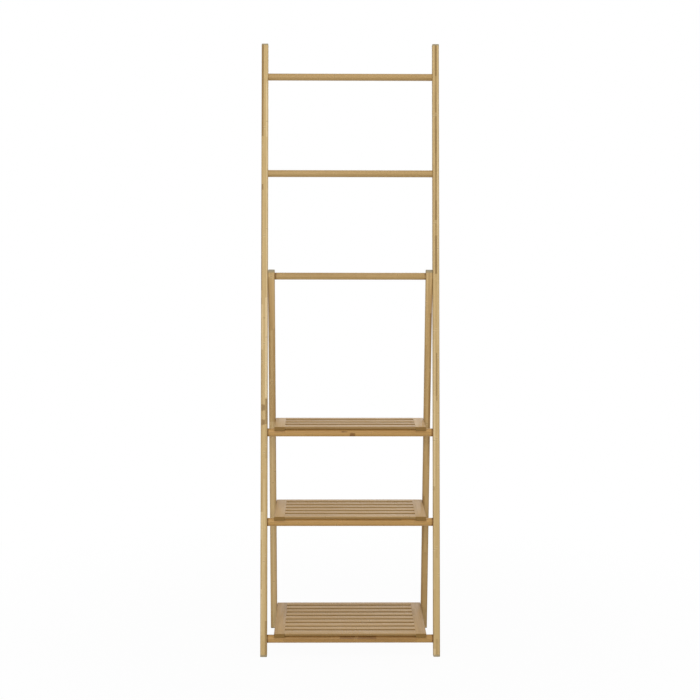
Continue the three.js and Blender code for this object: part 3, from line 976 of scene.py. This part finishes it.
def make_frame_bars():
    grip = FRAME_SCREW["reach"] - POST_WIDTH
    screws = []
    kinds = ((HANGING_BARS, HANGING_BAR_DIAMETER), (SHELF_BARS, SHELF_BAR_DIAMETER))
    for bars, diameter in kinds:
        copies = []
        for name, along in bars.items():
            place = FRONT_FRAME @ Matrix.Translation((0, 0, along))
            wood = bar_wood(name, place)
            copies.append((f"{name}_rod", name, "front_frame", place, wood, "bamboo_golden"))
            for side in SIDES:
                screws.append(steel(f"{name}_screw_{side}", "front_frame", place, side))
        place_copies(round_bar(diameter, RAIL_INNER, FRAME_SCREW, grip), copies)
    place_copies(socket_bolt(FRAME_SCREW, RAIL_OUTER), screws)


def make_pivot():
    grip = PIVOT_BOLT["reach"] - (RAIL_OUTER - LEG_INNER)
    wood = bar_wood("pivot_bar", REAR_FRAME)
    bar = round_bar(PIVOT_BAR_DIAMETER, LEG_INNER, PIVOT_BOLT, grip)
    placed(bar, "pivot_bar_rod", "pivot_bar", "rear_frame", REAR_FRAME, wood, "bamboo_golden")
    bolts, washers = [], []
    for side, way in SIDES.items():
        bolts.append(steel(f"pivot_bolt_{side}", "rear_frame", REAR_FRAME, side))
        washer = f"pivot_washer_{side}"
        place = REAR_FRAME @ HALF_TURN if way < 0 else REAR_FRAME
        washers.append((f"{washer}_ring", washer, "rear_frame", place, MOULDED_NYLON, "nylon"))
    place_copies(socket_bolt(PIVOT_BOLT, RAIL_OUTER), bolts)
    hole = PIVOT_BOLT["radius"] + HOLE_CLEARANCE
    place_copies(flat_ring(LEG_OUTER, RAIL_INNER, WASHER_RADIUS, hole), washers)


def slat_middles(count, front, rear):
    """The middle of each slat of a shelf, from the front one, which is wider, to the rear"""
    spare = rear - front - FRONT_SLAT_WIDTH - (count - 1) * SLAT_WIDTH
    pitch = SLAT_WIDTH + spare / (count - 1)
    others = [rear - SLAT_WIDTH / 2 - (count - 1 - index) * pitch for index in range(1, count)]
    return [front + FRONT_SLAT_WIDTH / 2] + others


def slat(width):
    """A slat with eased long edges and a tenon at each end"""
    half = width / 2
    thick_half = SLAT_THICKNESS / 2
    piece = block((-SHELF_INNER, -half, -thick_half), (SHELF_INNER, half, thick_half))
    soften(piece, SLAT_EDGE, 3, [(runs_along(piece, 0), 1.0)])
    for way in (-1, 1):
        shoulder = way * SHELF_INNER
        share_y = (width - 2 * TENON_SHOULDER) / width
        draw_out_scaled(piece, shoulder, shoulder, share_y, TENON_THICKNESS / SLAT_THICKNESS)
        draw_out(piece, shoulder, way * (SHELF_INNER + TENON_LENGTH))
    return piece


def shelf_side(front, behind, slats):
    """A shelf's right side, notched over its bar, with mortises and a hole for its hinge bolt"""
    half = SIDE_THICKNESS / 2
    piece = block((SHELF_INNER, front, -half), (SHELF_OUTER, REAR_OVERHANG, half))
    joint = runs_along(piece, 1, lambda middle: abs(middle.x - SHELF_INNER) < NEAR)
    weights = [(runs_along(piece, axis), 1.0) for axis in range(3)]
    soften(piece, SIDE_EDGE, 3, weights + [(joint, SIDE_JOINT_EDGE / SIDE_EDGE - 1.0)])
    notch = rod(SHELF_INNER - PAST, SHELF_OUTER + PAST, NOTCH_RADIUS, NOTCH_SIDES)
    hole = HINGE_BOLT["radius"] + HOLE_CLEARANCE
    bolt_hole = rod(SHELF_OUTER - HINGE_HOLE_IN_SIDE, SHELF_OUTER + PAST, hole, HOLE_SIDES)
    cutters = [shifted(notch, -behind, -BAR_UNDER_HINGE), bolt_hole]
    high_half = TENON_THICKNESS / 2 + TENON_CLEARANCE
    for middle, width in slats:
        wide_half = width / 2 - TENON_SHOULDER + TENON_CLEARANCE
        floor = SHELF_INNER + TENON_LENGTH + TENON_CLEARANCE
        low = (SHELF_INNER - PAST, middle - wide_half, SLAT_LIFT - high_half)
        high = (floor, middle + wide_half, SLAT_LIFT + high_half)
        cutters.append(block(low, high))
    cut(piece, cutters)
    return piece


def board_finish(width, thickness):
    return {**BOARD_FINISH, "Half Width": width / 2, "Half Depth": thickness / 2}


def make_shelves():
    slats = {SLAT_WIDTH: [], FRONT_SLAT_WIDTH: []}
    bolts = []
    for shelf_index, (name, count) in enumerate(SHELF_SLATS.items()):
        place = SHELF_FRAMES[name]
        body = f"shelf_{name}"
        bar = FRONT_FRAME @ Vector((0, 0, SHELF_BARS[f"shelf_bar_{name}"]))
        behind = -(place.inverted() @ bar).y
        front = -behind - LIP
        widths = [FRONT_SLAT_WIDTH] + [SLAT_WIDTH] * (count - 1)
        row = list(zip(slat_middles(count, front, REAR_OVERHANG), widths))
        sides = []
        for side, way in SIDES.items():
            node = f"{body}_side_{side}"
            grain = place @ grain_along_y(way * (SHELF_OUTER + SHELF_INNER) / 2)
            finish = board_finish(SIDE_WIDTH, SIDE_THICKNESS)
            seed = 101.0 + 13 * shelf_index + 5 * way
            ring_shift = 0.3 + 0.2 * way
            stretches = SIDE_STRETCHES.get(name, ())
            wood = bamboo(f"bamboo_{node}", finish, OILED, grain, seed, ring_shift, stretches)
            side_place = place @ MIRROR if way < 0 else place
            sides.append((f"{node}_stile", node, body, side_place, wood, "bamboo_slat"))
            bolts.append(steel(f"{body}_hinge_bolt_{side}", body, place, side))
        place_copies(shelf_side(front, behind, row), sides)
        for index, (middle, width) in enumerate(row):
            node = f"{body}_slat_{index + 1}"
            slat_place = place @ Matrix.Translation((0, middle, SLAT_LIFT))
            finish = board_finish(width, SLAT_THICKNESS)
            seed = 211.0 + 31 * shelf_index + 3 * index
            ring_shift = (0.37 * index + 0.21 * shelf_index) % 1.0
            stretches = SLAT_STRETCHES.get(name, ())
            wood = bamboo(f"bamboo_{node}", finish, OILED, slat_place, seed, ring_shift, stretches)
            slats[width].append((f"{node}_board", node, body, slat_place, wood, "bamboo_slat"))
    for width, copies in slats.items():
        place_copies(slat(width), copies)
    place_copies(socket_bolt(HINGE_BOLT, LEG_OUTER), bolts)


make_rails()
make_legs()
make_frame_bars()
make_pivot()
make_shelves()

# ---------------------------------------------------------------- floor, light and camera
WHITE = (1, 1, 1, 1)
AIR_LIGHT = 0.50
FLOOR_SIZE = 60
FLOOR_COLOUR = (0.8, 0.8, 0.8, 1)

# The floor's glow where the rack stands, and the distances from it over which that grows to 1
FLOOR_GLOW_NEAR = 0.96
FLOOR_GLOW_REACH = (0.4, 1.8)

# Each softbox: its place, what it points at, its width and height, and its power in watts
SOFTBOXES = {
    "front": ((-0.6, -4.4, 1.9), (0, 0, 0.8), (2.6, 2.0), 62),
    "overhead": ((0.3, -2.0, 4.8), (0, 0, 0.5), (3.2, 2.4), 40),
    "back": ((1.2, 4.2, 2.6), (0, 0, 0.8), (2.6, 2.0), 26),
}

CAMERA_PLACE = (-0.05943, -4.6431, 1.34037)
CAMERA_YAW = math.radians(0.72956)
CAMERA_PITCH = math.radians(5.92369)
CAMERA_ROLL = math.radians(0.12095)
SENSOR_WIDTH = 36.0
LENS = 83.38111


def seen_directly(tree):
    """1 for rays from the camera, from gloss and through glass, and 0 for the rays that light"""
    rays = add(tree, "ShaderNodeLightPath").outputs
    seen = calc(tree, "ADD", rays["Is Camera Ray"], rays["Is Glossy Ray"])
    return calc(tree, "ADD", seen, rays["Is Transmission Ray"], clamp=True)


def make_floor():
    deselect()
    bpy.ops.mesh.primitive_plane_add(size=FLOOR_SIZE, location=(0, 0, 0))
    floor = bpy.context.active_object
    floor.name = "studio_floor"
    material, tree, shader = new_material("studio_white")
    shader.inputs["Base Color"].default_value = FLOOR_COLOUR
    shader.inputs["Roughness"].default_value = 1.0
    shader.inputs["Specular IOR Level"].default_value = 0.0
    glow = add(tree, "ShaderNodeEmission", {"Color": WHITE, "Strength": 1.0})
    place = add(tree, "ShaderNodeTexCoord").outputs["Object"]
    distance = add(tree, "ShaderNodeVectorMath", {0: place}, operation="LENGTH").outputs["Value"]
    near_to_far = step(tree, distance, *FLOOR_GLOW_REACH, FLOOR_GLOW_NEAR, 1.0)
    share = calc(tree, "MULTIPLY", seen_directly(tree), near_to_far)
    mixed = add(tree, "ShaderNodeMixShader", {0: share, 1: shader.outputs[0], 2: glow.outputs[0]})
    output = next(node for node in tree.nodes if node.type == "OUTPUT_MATERIAL")
    put(tree, output.inputs["Surface"], mixed.outputs[0])
    floor.data.materials.append(material)


def make_air():
    world = bpy.data.worlds.new("studio_air")
    bpy.context.scene.world = world
    world.use_nodes = True
    tree = world.node_tree
    tree.nodes.clear()
    strength = calc(tree, "MULTIPLY_ADD", seen_directly(tree), 1.0 - AIR_LIGHT, AIR_LIGHT)
    air = add(tree, "ShaderNodeBackground", {"Color": WHITE, "Strength": strength})
    add(tree, "ShaderNodeOutputWorld", {"Surface": air.outputs[0]})


def softbox(name, place, target, size, watts):
    light = bpy.data.lights.new(name, "AREA")
    light.shape = "RECTANGLE"
    light.size, light.size_y = size
    light.energy = watts
    lamp = bpy.data.objects.new(name, light)
    bpy.context.scene.collection.objects.link(lamp)
    lamp.location = place
    lamp.rotation_euler = (Vector(target) - Vector(place)).to_track_quat("-Z", "Y").to_euler()


def make_camera():
    """The photograph's viewpoint, found from the rack's edges"""
    ahead = Vector((
        math.sin(CAMERA_YAW) * math.cos(CAMERA_PITCH),
        math.cos(CAMERA_YAW) * math.cos(CAMERA_PITCH),
        -math.sin(CAMERA_PITCH),
    ))
    level = Vector((math.cos(CAMERA_YAW), -math.sin(CAMERA_YAW), 0))
    upright = level.cross(ahead)
    right = level * math.cos(CAMERA_ROLL) + upright * math.sin(CAMERA_ROLL)
    up = upright * math.cos(CAMERA_ROLL) - level * math.sin(CAMERA_ROLL)
    data = bpy.data.cameras.new("photo_view")
    data.sensor_fit = "HORIZONTAL"
    data.sensor_width = SENSOR_WIDTH
    data.lens = LENS
    camera = bpy.data.objects.new("photo_view", data)
    bpy.context.scene.collection.objects.link(camera)
    turn = Matrix((right, up, -ahead)).transposed().to_4x4()
    camera.matrix_world = Matrix.Translation(CAMERA_PLACE) @ turn
    bpy.context.scene.camera = camera


make_floor()
make_air()
for box_name, box in SOFTBOXES.items():
    softbox(box_name, *box)
make_camera()

bpy.context.scene.view_settings.view_transform = "Standard"
